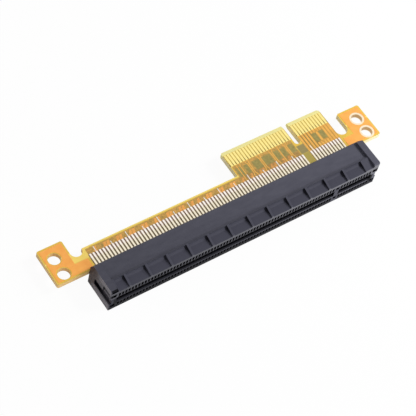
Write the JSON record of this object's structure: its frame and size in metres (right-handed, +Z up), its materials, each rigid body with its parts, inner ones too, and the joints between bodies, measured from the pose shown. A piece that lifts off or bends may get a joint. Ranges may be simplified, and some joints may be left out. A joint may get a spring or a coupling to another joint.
{
  "type": "pcie riser card",
  "caption": "Narrow circuit board with gold edge fingers along one side, end tabs with holes, and a long straddle-mounted card slot on the opposite edge.",
  "frame": {"origin": "under the middle of the part, on the flat lower wall of the slot housing", "axes": "+X along the slot towards contact 1, +Y from the slot's mouth to the tip of the gold fingers, +Z up"},
  "size_m": [0.1074, 0.026, 0.0092],
  "materials": {
    "housing_resin": "fine matt",
    "board": "semi-gloss amber mask",
    "masked_copper": "amber mask over copper",
    "gold_plate": "bright gold plate",
    "tinned_copper": "bright tin",
    "contact_alloy": "tin plate",
    "white_ink": "printed ink"
  },
  "bodies": {
    "root": {"connector_housing": "housing_resin", "board_laminate": "board", "copper_pours_front": "masked_copper", "copper_pours_back": "masked_copper", "gold_fingers_front_before_key": "gold_plate", "gold_fingers_front_after_key": "gold_plate", "gold_fingers_back_before_key": "gold_plate", "gold_fingers_back_after_key": "gold_plate", "plated_barrel_near": "tinned_copper", "plated_barrel_far": "tinned_copper", "pin_count_ticks": "white_ink", "upper_contacts_01_to_11": "contact_alloy", "upper_contacts_12_to_18": "contact_alloy", "upper_contacts_19_to_32": "contact_alloy", "upper_contacts_33_to_49": "contact_alloy", "upper_contacts_50_to_82": "contact_alloy", "lower_contacts_01_to_11": "contact_alloy", "lower_contacts_12_to_18": "contact_alloy", "lower_contacts_19_to_32": "contact_alloy", "lower_contacts_33_to_49": "contact_alloy", "lower_contacts_50_to_82": "contact_alloy"}
  },
  "joints": []
}
